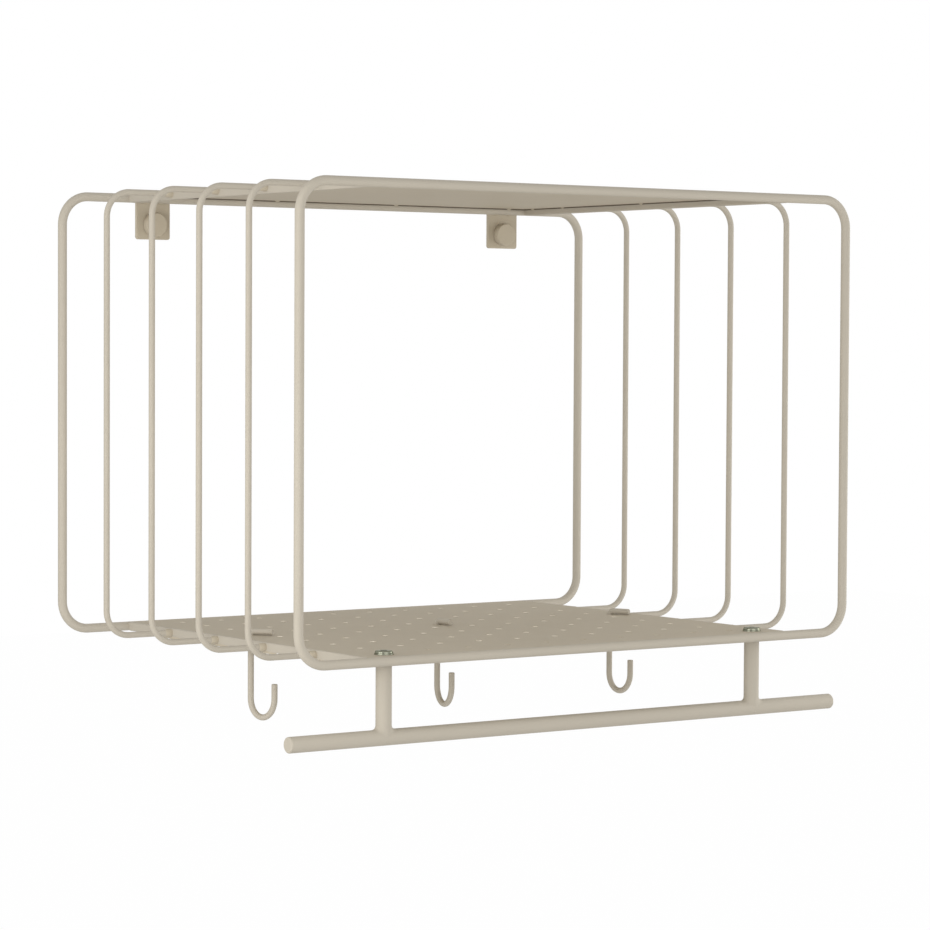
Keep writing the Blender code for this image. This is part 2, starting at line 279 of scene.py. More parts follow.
class HatShelfColours(bpy.types.PropertyGroup):
    """Colours of the paint, of the painted sheen, light and shade, of the screws and of the stage."""

    paint: bpy.props.FloatVectorProperty(
        name="Sheet paint",
        description="Powder coat on the sheets, the wall tabs, the caps and the small welds",
        default=(0.46, 0.402, 0.305),
        size=3,
        min=0,
        max=1,
        subtype="COLOR",
    )
    # Painted sheen: the bars get a whiter copy of the same coat, standing in for the sheen that light
    # leaves on them
    bar_paint: bpy.props.FloatVectorProperty(
        name="Bar paint, painted sheen",
        description="The same coat on the round and the flat bars, cooler and whiter as a painted sheen",
        default=(0.455, 0.412, 0.338),
        size=3,
        min=0,
        max=1,
        subtype="COLOR",
    )
    # Painted light: a far paler colour on the hole walls stands in for the light that comes up through
    # the holes
    hole_wall_painted_light: bpy.props.FloatVectorProperty(
        name="Hole wall painted light",
        description="Painted light on the punched holes' walls, far paler than the coat",
        default=(0.9, 0.84, 0.72),
        size=3,
        min=0,
        max=1,
        subtype="COLOR",
    )
    # Painted shadow: a near-black strip stands in for the shade in the seams under the upper sheet
    seam: bpy.props.FloatVectorProperty(
        name="Seam",
        description="Painted shadow in the line between the upper sheet and the bars round it",
        default=(0.1, 0.075, 0.05),
        size=3,
        min=0,
        max=1,
        subtype="COLOR",
    )
    zinc: bpy.props.FloatVectorProperty(
        name="Zinc",
        description="Plating of the rail screws",
        default=(0.262, 0.267, 0.208),
        size=3,
        min=0,
        max=1,
        subtype="COLOR",
    )
    floor: bpy.props.FloatVectorProperty(
        name="Floor",
        description="Floor under the shelf",
        default=(0.86, 0.86, 0.86),
        size=3,
        min=0,
        max=1,
        subtype="COLOR",
    )


def new_material(name):
    """An empty material: itself, its nodes, links, shader and the object's own coordinates."""
    material = bpy.data.materials.new(name)
    material.use_nodes = True
    nodes = material.node_tree.nodes
    coordinates = nodes.new("ShaderNodeTexCoord").outputs["Object"]
    return material, nodes, material.node_tree.links, nodes["Principled BSDF"], coordinates


def noise(nodes, links, coordinates, scale, detail):
    """A noise texture in the object's own metres."""
    texture = nodes.new("ShaderNodeTexNoise")
    texture.inputs["Scale"].default_value = scale
    texture.inputs["Detail"].default_value = detail
    links.new(coordinates, texture.inputs["Vector"])
    return texture.outputs["Fac"]


def blended(nodes, links, factor, first, second):
    """Two colours mixed by a texture's value."""
    mix = nodes.new("ShaderNodeMix")
    mix.data_type = "RGBA"
    mix.inputs["A"].default_value = (*first, 1)
    mix.inputs["B"].default_value = (*second, 1)
    links.new(factor, mix.inputs["Factor"])
    return mix.outputs["Result"]


def mapped(nodes, links, value, low, high):
    """A texture's value spread between low and high."""
    mapping = nodes.new("ShaderNodeMapRange")
    mapping.inputs["To Min"].default_value = low
    mapping.inputs["To Max"].default_value = high
    links.new(value, mapping.inputs["Value"])
    return mapping.outputs["Result"]


def bumped(nodes, links, height, strength, distance, under=None):
    """A bump from a height, over another bump where one is given."""
    bump = nodes.new("ShaderNodeBump")
    bump.inputs["Strength"].default_value = strength
    bump.inputs["Distance"].default_value = distance
    links.new(height, bump.inputs["Height"])
    if under:
        links.new(under, bump.inputs["Normal"])
    return bump.outputs["Normal"]


def powder_coat(name, colour):
    """Satin powder coat: faint clouds and specks of colour over a fine orange peel."""
    material, nodes, links, shader, coordinates = new_material(name)
    clouds = noise(nodes, links, coordinates, scale=9, detail=3)
    darker = [0.965 * part for part in colour]
    lighter = [min(1, 1.035 * part) for part in colour]
    clouded = blended(nodes, links, clouds, darker, lighter)
    specks = noise(nodes, links, coordinates, scale=1400, detail=2)
    speckle = nodes.new("ShaderNodeMix")
    speckle.data_type = "RGBA"
    speckle.blend_type = "MULTIPLY"
    speckle.inputs["Factor"].default_value = 1
    grey = nodes.new("ShaderNodeCombineColor")
    tone = mapped(nodes, links, specks, low=0.975, high=1.025)
    for channel in ("Red", "Green", "Blue"):
        links.new(tone, grey.inputs[channel])
    links.new(clouded, speckle.inputs["A"])
    links.new(grey.outputs["Color"], speckle.inputs["B"])
    links.new(speckle.outputs["Result"], shader.inputs["Base Color"])

    sheen_patches = noise(nodes, links, coordinates, scale=60, detail=3)
    dullness = mapped(nodes, links, sheen_patches, low=0.62, high=0.74)
    links.new(dullness, shader.inputs["Roughness"])
    peel = noise(nodes, links, coordinates, scale=620, detail=3)
    grain = noise(nodes, links, coordinates, scale=2600, detail=1)
    wavy = bumped(nodes, links, peel, strength=0.08, distance=0.00006)
    grainy = bumped(nodes, links, grain, strength=0.04, distance=0.00002, under=wavy)
    links.new(grainy, shader.inputs["Normal"])
    shader.inputs["Specular IOR Level"].default_value = 0.3
    return material


def bright_zinc(name, colour):
    """Bright zinc plate with a faint green cast, turning marks and small stains."""
    material, nodes, links, shader, coordinates = new_material(name)
    stains = noise(nodes, links, coordinates, scale=500, detail=3)
    stained = [0.82 * part for part in colour]
    links.new(blended(nodes, links, stains, stained, colour), shader.inputs["Base Color"])
    shader.inputs["Metallic"].default_value = 1
    shader.inputs["Specular Tint"].default_value = (0.46, 0.46, 0.39, 1)
    marks = noise(nodes, links, coordinates, scale=3000, detail=2)
    links.new(mapped(nodes, links, marks, low=0.14, high=0.32), shader.inputs["Roughness"])
    rough = bumped(nodes, links, marks, strength=0.1, distance=0.00004)
    links.new(rough, shader.inputs["Normal"])
    return material


def painted_light_coat(name, colour):
    """A flat, streaky coat for painted light and shade: painted light on the punched holes' walls,
    painted shadow under the upper sheet's edges.
    """
    material, nodes, links, shader, coordinates = new_material(name)
    streaks = noise(nodes, links, coordinates, scale=1800, detail=2)
    darker = [0.94 * part for part in colour]
    links.new(blended(nodes, links, streaks, darker, colour), shader.inputs["Base Color"])
    shader.inputs["Roughness"].default_value = 0.6
    streaky = bumped(nodes, links, streaks, strength=0.1, distance=0.00003)
    links.new(streaky, shader.inputs["Normal"])
    return material


def finish(name):
    """The named finish, made the first time that it is asked for."""
    colours = bpy.context.scene.hat_shelf_colours
    makers = {
        "sheet_coat": (powder_coat, colours.paint),
        # Whiter copy of the coat, a painted sheen on the bars
        "bar_coat": (powder_coat, colours.bar_paint),
        # Painted light on the punched holes' walls
        "painted_light_coat": (painted_light_coat, colours.hole_wall_painted_light),
        # Painted shadow under the upper sheet's edges
        "seam_shadow_coat": (painted_light_coat, colours.seam),
        "bright_zinc": (bright_zinc, colours.zinc),
    }
    maker, colour = makers[name]
    return bpy.data.materials.get(name) or maker(name, colour)


def arc(across, up, radius, start, end, steps):
    """Points of an arc round (across, up), its angles in degrees from the across direction."""
    points = []
    for step in range(steps + 1):
        angle = math.radians(start + (end - start) * step / steps)
        points.append((across + radius * math.cos(angle), up + radius * math.sin(angle)))
    return points


def piece_of(name, mesh, body, material, nodes=(), location=(0, 0, 0), turn=(0, 0, 0)):
    """An object of the bmesh in its place, with its finish, its body and what it stands for."""
    bmesh.ops.recalc_face_normals(mesh, faces=mesh.faces)
    data = bpy.data.meshes.new(name)
    mesh.to_mesh(data)
    mesh.free()
    data.set_sharp_from_angle(angle=SMOOTH_ANGLE)
    for face in data.polygons:
        face.use_smooth = max(abs(part) for part in face.normal) < FLAT_FACE
    data.materials.append(finish(material))
    piece = bpy.data.objects.new(name, data)
    piece.location = location
    piece.rotation_euler = turn
    bpy.context.scene.collection.objects.link(piece)
    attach(piece, body)
    if nodes:
        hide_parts(*nodes)
    return piece


def add_ring(mesh, centre, first, second, radius, sides):
    """A ring of points round a centre, in the plane of two directions."""
    ring = []
    for step in range(sides):
        angle = math.tau * step / sides
        offset = first * math.cos(angle) + second * math.sin(angle)
        ring.append(mesh.verts.new(centre + offset * radius))
    return ring


def add_level_ring(mesh, centre, radius, sides):
    """A level ring of points round a centre."""
    return add_ring(mesh, centre, Vector((1, 0, 0)), Vector((0, 1, 0)), radius, sides)


def bridge(mesh, rings, closed=False):
    """Quads between each ring and the next, and from the last back to the first."""
    pairs = list(zip(rings, rings[1:]))
    if closed:
        pairs.append((rings[-1], rings[0]))
    for lower, upper in pairs:
        count = len(lower)
        for step in range(count):
            following = (step + 1) % count
            mesh.faces.new((lower[step], lower[following], upper[following], upper[step]))


def add_bar(mesh, points, diameter, sides, closed=False, eased=0):
    """A round bar along (across, up) points in the upright plane, its ends square and eased."""
    places = [Vector((across, 0, up)) for across, up in points]
    radii = [diameter / 2] * len(places)
    if not closed and eased:
        first = (places[1] - places[0]).normalized()
        last = (places[-1] - places[-2]).normalized()
        places = [places[0], places[0] + first * eased] + places[1:-1]
        places += [Vector((points[-1][0], 0, points[-1][1])) - last * eased]
        places += [Vector((points[-1][0], 0, points[-1][1]))]
        radii = [diameter / 2 - eased] + [diameter / 2] * (len(places) - 2) + [diameter / 2 - eased]
    count = len(places)
    rings = []
    for index, (place, radius) in enumerate(zip(places, radii)):
        before = places[index - 1] if index or closed else places[0]
        after = places[(index + 1) % count] if index < count - 1 or closed else places[-1]
        along = (after - before).normalized()
        out = Vector((0, 1, 0))
        rings.append(add_ring(mesh, place, out, along.cross(out), radius, sides))
    bridge(mesh, rings, closed)
    if not closed:
        mesh.faces.new(rings[0])
        mesh.faces.new(rings[-1])


def turned(profile, sides):
    """A bmesh turned about Z from (radius, height) points, and its first ring."""
    mesh = bmesh.new()
    rings = []
    for radius, height in profile:
        if radius:
            rings.append(add_level_ring(mesh, Vector((0, 0, height)), radius, sides))
        else:
            rings.append([mesh.verts.new((0, 0, height))])
    for lower, upper in zip(rings, rings[1:]):
        for step in range(sides):
            following = (step + 1) % sides
            corners = [lower[step % len(lower)], lower[following % len(lower)]]
            corners += [upper[following % len(upper)], upper[step % len(upper)]]
            unique = list(dict.fromkeys(corners))
            mesh.faces.new(unique)
    return mesh, rings[0]


def rounded_shoulder(radius, height, edge, steps, top):
    """Profile points of a rounded outer edge: from the flat to the side where top, else back."""
    centre_across = radius - edge
    centre_up = height - edge if top else height + edge
    angles = (90, 0) if top else (0, -90)
    return arc(centre_across, centre_up, edge, *angles, steps)


def add_block(mesh, low, high):
    """Add a plain block between two corners to a mesh."""
    matrix = Matrix.Translation((low + high) / 2) @ Matrix.Diagonal((*(high - low), 1))
    bmesh.ops.create_cube(mesh, size=1, matrix=matrix)


def ease(mesh, edges, radius):
    """Round some edges of a mesh."""
    bmesh.ops.bevel(mesh, geom=edges, offset=radius, segments=EASE_STEPS, profile=0.5, affect="EDGES")


def slab(low, high, edge):
    """A bmesh block between two corners with eased edges."""
    mesh = bmesh.new()
    add_block(mesh, low, high)
    ease(mesh, mesh.edges[:], edge)
    return mesh


def punched_places(sizes):
    """Middles of the punched holes, in columns and rows either side of the sheet's middle."""
    places = []
    for column in range(-5, 5):
        for row in range(-4, 5):
            x = (column + 0.5) * sizes.hole_pitch_across
            places.append((x, MIDDLE_Y + row * sizes.hole_pitch_deep, sizes.hole / 2))
    return places


def punched_sheet(low, high, holes, edge):
    """A bmesh sheet with round holes, every rim and border eased by the paint."""
    mesh = bmesh.new()
    levels = []
    for step in range(EASE_STEPS + 1):
        angle = math.radians(90 * step / EASE_STEPS)
        levels.append((edge * (1 - math.sin(angle)), edge * (1 - math.cos(angle))))
    # Each level is (how far in from the wall of the hole or border, how far down from the face).
    wall = [(inset, high.z - drop) for inset, drop in levels]
    wall += [(inset, low.z + drop) for inset, drop in reversed(levels)]
    face_edges = {"top": [], "bottom": []}

    def add_wall(outline_at):
        """Close one wall through the sheet, and keep its edges on the two faces."""
        rings = []
        for inset, z in wall:
            rings.append([mesh.verts.new((x, y, z)) for x, y in outline_at(inset)])
        bridge(mesh, rings)
        for key, ring in (("top", rings[0]), ("bottom", rings[-1])):
            for step, corner in enumerate(ring):
                pair = (corner, ring[(step + 1) % len(ring)])
                face_edges[key].append(mesh.edges.get(pair))

    def border(inset):
        """The sheet's border, drawn in by the inset."""
        return [
            (low.x + inset, low.y + inset),
            (high.x - inset, low.y + inset),
            (high.x - inset, high.y - inset),
            (low.x + inset, high.y - inset),
        ]

    add_wall(border)
    for x, y, radius in holes:

        def rim(inset, x=x, y=y, radius=radius):
            """A hole's rim, opened by the inset."""
            angles = [math.tau * step / RIM_SIDES for step in range(RIM_SIDES)]
            reach = radius + inset
            return [(x + reach * math.cos(angle), y + reach * math.sin(angle)) for angle in angles]

        add_wall(rim)
    for edges in face_edges.values():
        bmesh.ops.triangle_fill(mesh, edges=edges, use_beauty=True, use_dissolve=False)
    return mesh


class HATSHELF_OT_loops(bpy.types.Operator):
    """Make the thick closed loops at the front and the back."""

    bl_idname = "hat_shelf.loops"
    bl_label = "End loops"

    def execute(self, context):
        sizes = context.scene.hat_shelf_sizes
        for node, name in (("loop_front", "front_loop"), ("loop_back", "back_loop")):
            low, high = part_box(node)
            bend = sizes.loop_bend
            half = (high.x - low.x - LOOP_BAR) / 2 - bend
            down = low.z + LOOP_BAR / 2 + bend
            up = high.z - LOOP_BAR / 2 - bend
            points = arc(half, up, bend, 90, 0, BEND_STEPS)
            points += arc(half, down, bend, 0, -90, BEND_STEPS)
            points += arc(-half, down, bend, 270, 180, BEND_STEPS)
            points += arc(-half, up, bend, 180, 90, BEND_STEPS)
            mesh = bmesh.new()
            add_bar(mesh, points, LOOP_BAR, BAR_SIDES, closed=True)
            place = (0, (low.y + high.y) / 2, 0)
            piece_of(name, mesh, MAIN_BODY, "bar_coat", [node], place)
        return {"FINISHED"}


def rod_ends(node):
    """Side, middle Y, how far out the upright's middle is, and both runs' heights of one rod."""
    low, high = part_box(node)
    side = -1 if high.x < 0 else 1
    outer = max(abs(low.x), abs(high.x))
    top = LOOP_HIGH.z - ROD_BAR / 2
    bottom = LOOP_LOW.z + LOOP_BAR / 2
    return side, (low.y + high.y) / 2, outer - ROD_BAR / 2, top, bottom


class HATSHELF_OT_side_rods(bpy.types.Operator):
    """Make the thin rods bent round both sides."""

    bl_idname = "hat_shelf.side_rods"
    bl_label = "Side rods"

    def execute(self, context):
        bend = context.scene.hat_shelf_sizes.rod_bend
        bar_middle = (SIDE_BAR_INSIDE + SIDE_BAR_OUTSIDE) / 2
        for node in RODS:
            side, y, upright, top, bottom = rod_ends(node)
            points = [(bar_middle, top)]
            points += arc(upright - bend, top - bend, bend, 90, 0, BEND_STEPS)
            points += arc(upright - bend, bottom + bend, bend, 0, -90, BEND_STEPS)
            points += [(bar_middle, bottom)]
            mesh = bmesh.new()
            add_bar(mesh, [(side * across, up) for across, up in points], ROD_BAR, WIRE_SIDES)
            name = node.replace("side_rod", "thin_rod")
            piece_of(name, mesh, MAIN_BODY, "bar_coat", [node], (0, y, 0))
        return {"FINISHED"}


class HATSHELF_OT_side_bars(bpy.types.Operator):
    """Make the flat bars beside the two sheets."""

    bl_idname = "hat_shelf.side_bars"
    bl_label = "Side bars"

    def execute(self, context):
        edge = context.scene.hat_shelf_sizes.bar_edge
        reach = Vector((0, LOOP_BAR / 4, 0))
        for node in SIDE_BARS:
            low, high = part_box(node)
            mesh = slab(low - reach, high + reach, edge)
            name = node.replace("side_bar", "flat_bar")
            piece_of(name, mesh, MAIN_BODY, "bar_coat", [node])
        return {"FINISHED"}


class HATSHELF_OT_sheets(bpy.types.Operator):
    """Make the plain upper sheet and the punched lower one."""

    bl_idname = "hat_shelf.sheets"
    bl_label = "Sheets"

    def execute(self, context):
        sizes = context.scene.hat_shelf_sizes
        low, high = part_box("top_sheet")
        # Each sheet runs on into the loops and over the bars' round edges, as if welded flush.
        over_bar = SEAM_GAP + SHEET_OVER_BAR * sizes.bar_edge
        inset = Vector((-over_bar, LOOP_HIGH.y - LOOP_BAR / 2 - low.y, 0))
        mesh = punched_sheet(low + inset, high - inset, [], sizes.eased_edge)
        piece_of("upper_sheet", mesh, MAIN_BODY, "sheet_coat", ["top_sheet"])
        holes = punched_places(sizes)
        for hook in ("hook_left", "hook_middle", "hook_right"):
            x, y = hook_axis(hook)
            holes.append((x, y, ROD_BAR / 2 + HOOK_HOLE_PLAY))
        for side in SIDES.values():
            holes.append((side * post_across(), RAIL_CENTRE.y, SCREW_HOLE / 2))
        mesh = punched_sheet(SHEET_LOW + inset, SHEET_HIGH - inset, holes, sizes.eased_edge / 2)
        piece_of("lower_sheet", mesh, MAIN_BODY, "sheet_coat", ["bottom_sheet"])
        self.rims(sizes)
        return {"FINISHED"}

    def rims(self, sizes):
        """Painted light on the walls of the punched holes, a pale lining where light comes up through
        them, but for the front row, which is left in its shade.
        """
        mesh = bmesh.new()
        inside = sizes.eased_edge / 2
        places = punched_places(sizes)
        front = min(y for _, y, _ in places)
        for x, y, radius in places:
            if y == front:
                continue
            rings = []
            for reach, height in (
                (radius - HOLE_LIGHT_INSET, SHEET_LOW.z + inside),
                (radius - HOLE_LIGHT_INSET, SHEET_HIGH.z - inside),
                (radius + inside, SHEET_HIGH.z - inside),
                (radius + inside, SHEET_LOW.z + inside),
            ):
                rings.append(add_level_ring(mesh, Vector((x, y, height)), reach, RIM_SIDES))
            bridge(mesh, rings, closed=True)
        piece_of("hole_wall_light", mesh, MAIN_BODY, "painted_light_coat")


def joint_of(body):
    """The joint that carries a body."""
    return next(joint for joint in frame["joints"] if joint["child"] == body)


def hook_axis(body):
    """Where a hook's straight wire stands on the sheet."""
    x, y, _ = joint_of(body)["pos_m"]
    return x, y


def post_across():
    """How far each post stands from the middle."""
    low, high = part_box("rail_post_right")
    return (low.x + high.x) / 2


class HATSHELF_OT_wall_tabs(bpy.types.Operator):
    """Make the wall tabs and the caps on them."""

    bl_idname = "hat_shelf.wall_tabs"
    bl_label = "Wall tabs and caps"

    def execute(self, context):
        edge = context.scene.hat_shelf_sizes.eased_edge
        corner = TAB_CORNER
        top = LOOP_HIGH.z - LOOP_BAR / 2
        for side in SIDES:
            node = f"wall_tab_{side}"
            low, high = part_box(node)
            across = (high.x - low.x) / 2 - corner
            up = low.z + corner
            outline = arc(-across, up, corner, 180, 270, steps=8)
            outline += arc(across, up, corner, 270, 360, steps=8)
            outline += [(across + corner, top), (-across - corner, top)]
            mesh = bmesh.new()
            front = mesh.faces.new([mesh.verts.new((x, 0, z)) for x, z in outline])
            moved = bmesh.ops.extrude_face_region(mesh, geom=[front])["geom"]
            back = [item for item in moved if isinstance(item, bmesh.types.BMVert)]
            bmesh.ops.translate(mesh, verts=back, vec=(0, high.y - low.y, 0))
            bmesh.ops.recalc_face_normals(mesh, faces=mesh.faces)
            flats = [face for face in mesh.faces if abs(face.normal.y) > 0.9]
            rims = {rim for face in flats for rim in face.edges}
            ease(mesh, list(rims), edge)
            place = ((low.x + high.x) / 2, low.y, 0)
            name = f"tab_plate_{side}"
            piece_of(name, mesh, MAIN_BODY, "sheet_coat", [node], place)
            self.cap(side, edge)
        return {"FINISHED"}

    def cap(self, side, edge):
        """One round cap, hollow behind, with a shadow line where it meets its tab."""
        node = f"wall_cap_{side}"
        low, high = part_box(node)
        outside = (high.x - low.x) / 2
        height = high.y - low.y
        inside = outside - CAP_WALL
        profile = [(0, height)]
        profile += rounded_shoulder(outside, height, CAP_EDGE * edge, steps=5, top=True)
        profile += rounded_shoulder(outside, 0, edge, steps=4, top=False)
        profile += [(inside, 0), (inside, height - CAP_WALL), (0, height - CAP_WALL)]
        mesh, _ = turned(profile, TURNED_SIDES)
        place = ((low.x + high.x) / 2, high.y, (low.z + high.z) / 2)
        turn = (math.radians(90), 0, 0)
        name = f"cover_cap_{side}"
        piece_of(name, mesh, MAIN_BODY, "sheet_coat", [node], place, turn)


class HATSHELF_OT_coat_rail(bpy.types.Operator):
    """Make the coat rail and its two posts."""

    bl_idname = "hat_shelf.coat_rail"
    bl_label = "Coat rail"

    def execute(self, context):
        radius = RAIL_BAR / 2
        half = (RAIL_HIGH.x - RAIL_LOW.x) / 2
        profile = [(0, half)]
        profile += rounded_shoulder(radius, half, RAIL_EDGE, steps=5, top=True)
        profile += rounded_shoulder(radius, -half, RAIL_EDGE, steps=5, top=False)
        profile += [(0, -half)]
        mesh, _ = turned(profile, TURNED_SIDES)
        turn = (0, math.radians(90), 0)
        piece_of(
            "rail", mesh, MAIN_BODY, "bar_coat", ["coat_rail"], RAIL_CENTRE, turn
        )
        for side, sign in SIDES.items():
            node = f"rail_post_{side}"
            low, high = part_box(node)
            post = (high.x - low.x) / 2
            profile = [(0, high.z), (post, high.z), (post, RAIL_CENTRE.z), (0, RAIL_CENTRE.z)]
            mesh, _ = turned(profile, TURNED_SIDES)
            place = (sign * post_across(), RAIL_CENTRE.y, 0)
            name = f"post_{side}"
            piece_of(name, mesh, MAIN_BODY, "bar_coat", [node], place)
        return {"FINISHED"}


class HATSHELF_OT_screws(bpy.types.Operator):
    """Make the screws that hold the posts."""

    bl_idname = "hat_shelf.screws"
    bl_label = "Rail screws"

    def execute(self, context):
        sizes = context.scene.hat_shelf_sizes
        for side in SIDES:
            node = f"rail_screw_{side}"
            low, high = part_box(node)
            collar = (high.x - low.x) / 2
            head = collar - SCREW_COLLAR_RIM
            shank = sizes.screw / 2
            top = high.z - SHEET_HIGH.z
            tip = low.z - SHEET_HIGH.z
            socket = sizes.screw_socket / 2
            profile = rounded_shoulder(head, top, SCREW_HEAD_ROUND, steps=6, top=True)
            profile += [(head, SCREW_HEAD_FOOT)]
            profile += rounded_shoulder(collar, SCREW_COLLAR_HEIGHT, SCREW_EDGE, steps=3, top=True)
            profile += [(collar, 0), (shank, 0), (shank, tip + SCREW_TIP), (shank * SCREW_TIP_SHARE, tip)]
            profile += [(0, tip)]
            mesh, ring = turned(profile, TURNED_SIDES)
            rings = [ring]
            for flat, height in (
                (socket + SCREW_EDGE, top),
                (socket, top - SCREW_EDGE),
                (socket, top - SCREW_SOCKET_DEPTH),
            ):
                rings.append(hexagon_ring(mesh, flat, height, TURNED_SIDES))
            bridge(mesh, rings)
            mesh.faces.new(rings[-1])
            place = ((low.x + high.x) / 2, (low.y + high.y) / 2, SHEET_HIGH.z)
            name = f"screw_{side}"
            piece_of(name, mesh, MAIN_BODY, "bright_zinc", [node], place)
        return {"FINISHED"}


def hexagon_ring(mesh, flat, height, sides):
    """A ring of points round a hexagon about Z, at even angles."""
    ring = []
    for step in range(sides):
        angle = math.tau * step / sides
        turn = (angle + math.pi / 6) % (math.pi / 3) - math.pi / 6
        reach = flat / math.cos(turn)
        ring.append(mesh.verts.new((reach * math.cos(angle), reach * math.sin(angle), height)))
    return ring


class HATSHELF_OT_hooks(bpy.types.Operator):
    """Make the three wire hooks, each on its own swivel."""

    bl_idname = "hat_shelf.hooks"
    bl_label = "Wire hooks"

    def execute(self, context):
        sizes = context.scene.hat_shelf_sizes
        wire = ROD_BAR
        bend = wire / 2 + sizes.hook_bend_inside
        for side in ("left", "middle", "right"):
            body = f"hook_{side}"
            x, y = hook_axis(body)
            low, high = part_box(body)
            # From the straight wire to the tip's, as the hook comes to rest in the frame.
            reach = Vector((high.x - wire / 2 - x, low.y + wire / 2 - y))
            mouth = reach.length / 2
            level = high.z - wire / 2 - bend
            lowest = low.z - level
            start = lowest + wire / 2 + sizes.hook_mouth_depth
            deeper = sizes.hook_mouth_depth / mouth
            points = [(sizes.hook_leg, bend)] + arc(bend, 0, bend, 90, 180, steps=8)
            for across, up in arc(mouth, 0, mouth, 180, 360, steps=28):
                points.append((across, start + up * deeper))
            points += [(2 * mouth, lowest + sizes.hook_tip_rise)]
            mesh = bmesh.new()
            add_bar(mesh, points, wire, WIRE_SIDES, eased=HOOK_TIP_EDGE)
            rotation = (0, 0, math.atan2(reach.y, reach.x))
            name = f"wire_hook_{side}"
            place = (x, y, level)
            piece_of(name, mesh, body, "bar_coat", [body], place, rotation)
        return {"FINISHED"}


def weld_collar(mesh, centre, axis, radius, leg, length, sides, steps=6):
    """A full weld round a bar that stands on a face at the centre."""
    axis = axis.normalized()
    across = axis.orthogonal().normalized()
    other = axis.cross(across)
    rings = []
    for step in range(steps + 1):
        angle = math.radians(90 * step / steps)
        reach = radius + leg * math.cos(angle)
        rise = length * math.sin(angle)
        rings.append(add_ring(mesh, centre + axis * rise, across, other, reach, sides))
    root = radius * WELD_ROOT
    rings.append(add_ring(mesh, centre + axis * length, across, other, root, sides))
    rings.append(add_ring(mesh, centre, across, other, root, sides))
    bridge(mesh, rings, closed=True)


def saddle_weld(mesh, place, radius, leg, sides=72, steps=6):
    """The weld round a post that stands on a rail of the same thickness along X."""
    rings = []
    for step in range(steps + 1):
        share = step / steps
        ring = []
        for count in range(sides):
            angle = math.tau * count / sides
            side = math.sin(angle)
            down = math.asin(side)
            joint = Vector((radius * math.cos(angle), radius * side, radius * math.cos(down)))
            above = joint + Vector((0, 0, leg))
            beyond = down + leg / radius * side
            out = Vector(
                (
                    (radius + leg) * math.cos(angle),
                    radius * math.sin(beyond),
                    radius * math.cos(beyond),
                )
            )
            first = above.lerp(joint, share)
            ring.append(mesh.verts.new(place + first.lerp(joint.lerp(out, share), share)))
        rings.append(ring)
    inside_post = []
    for vertex in rings[0]:
        across = (vertex.co - place) * Vector((1, 1, 0))
        inside_post.append(mesh.verts.new(vertex.co - across * (1 - WELD_ROOT)))
    inside_rail = [mesh.verts.new(place.lerp(vertex.co, WELD_ROOT)) for vertex in rings[-1]]
    inside_both = []
    for post_vertex, rail_vertex in zip(inside_post, inside_rail):
        corner = (post_vertex.co.x, post_vertex.co.y, rail_vertex.co.z)
        inside_both.append(mesh.verts.new(corner))
    bridge(mesh, [inside_post, *rings, inside_rail, inside_both], closed=True)


def stitch(mesh, place, along, length, width, height):
    """One short weld bead along a seam, a low mound with a rippled back."""
    along = along.normalized()
    up = Vector((0, 0, -1))
    across = along.cross(up)
    rings = []
    for step in range(BEAD_STEPS + 1):
        share = step / BEAD_STEPS
        fullness = math.sqrt(max(0.0, 1 - (2 * share - 1) ** 2)) + BEAD_BLUNT_END
        ripple = 1 + BEAD_RIPPLE_DEPTH * math.sin(share * math.tau * BEAD_RIPPLES)
        centre = place + along * (share - 0.5) * length
        ring = []
        for count in range(BEAD_SIDES):
            angle = math.tau * count / BEAD_SIDES
            offset = across * math.cos(angle) * width / 2
            offset += up * math.sin(angle) * height * ripple
            ring.append(mesh.verts.new(centre + offset * fullness))
        rings.append(ring)
    bridge(mesh, rings)
    mesh.faces.new(rings[0])
    mesh.faces.new(rings[-1])


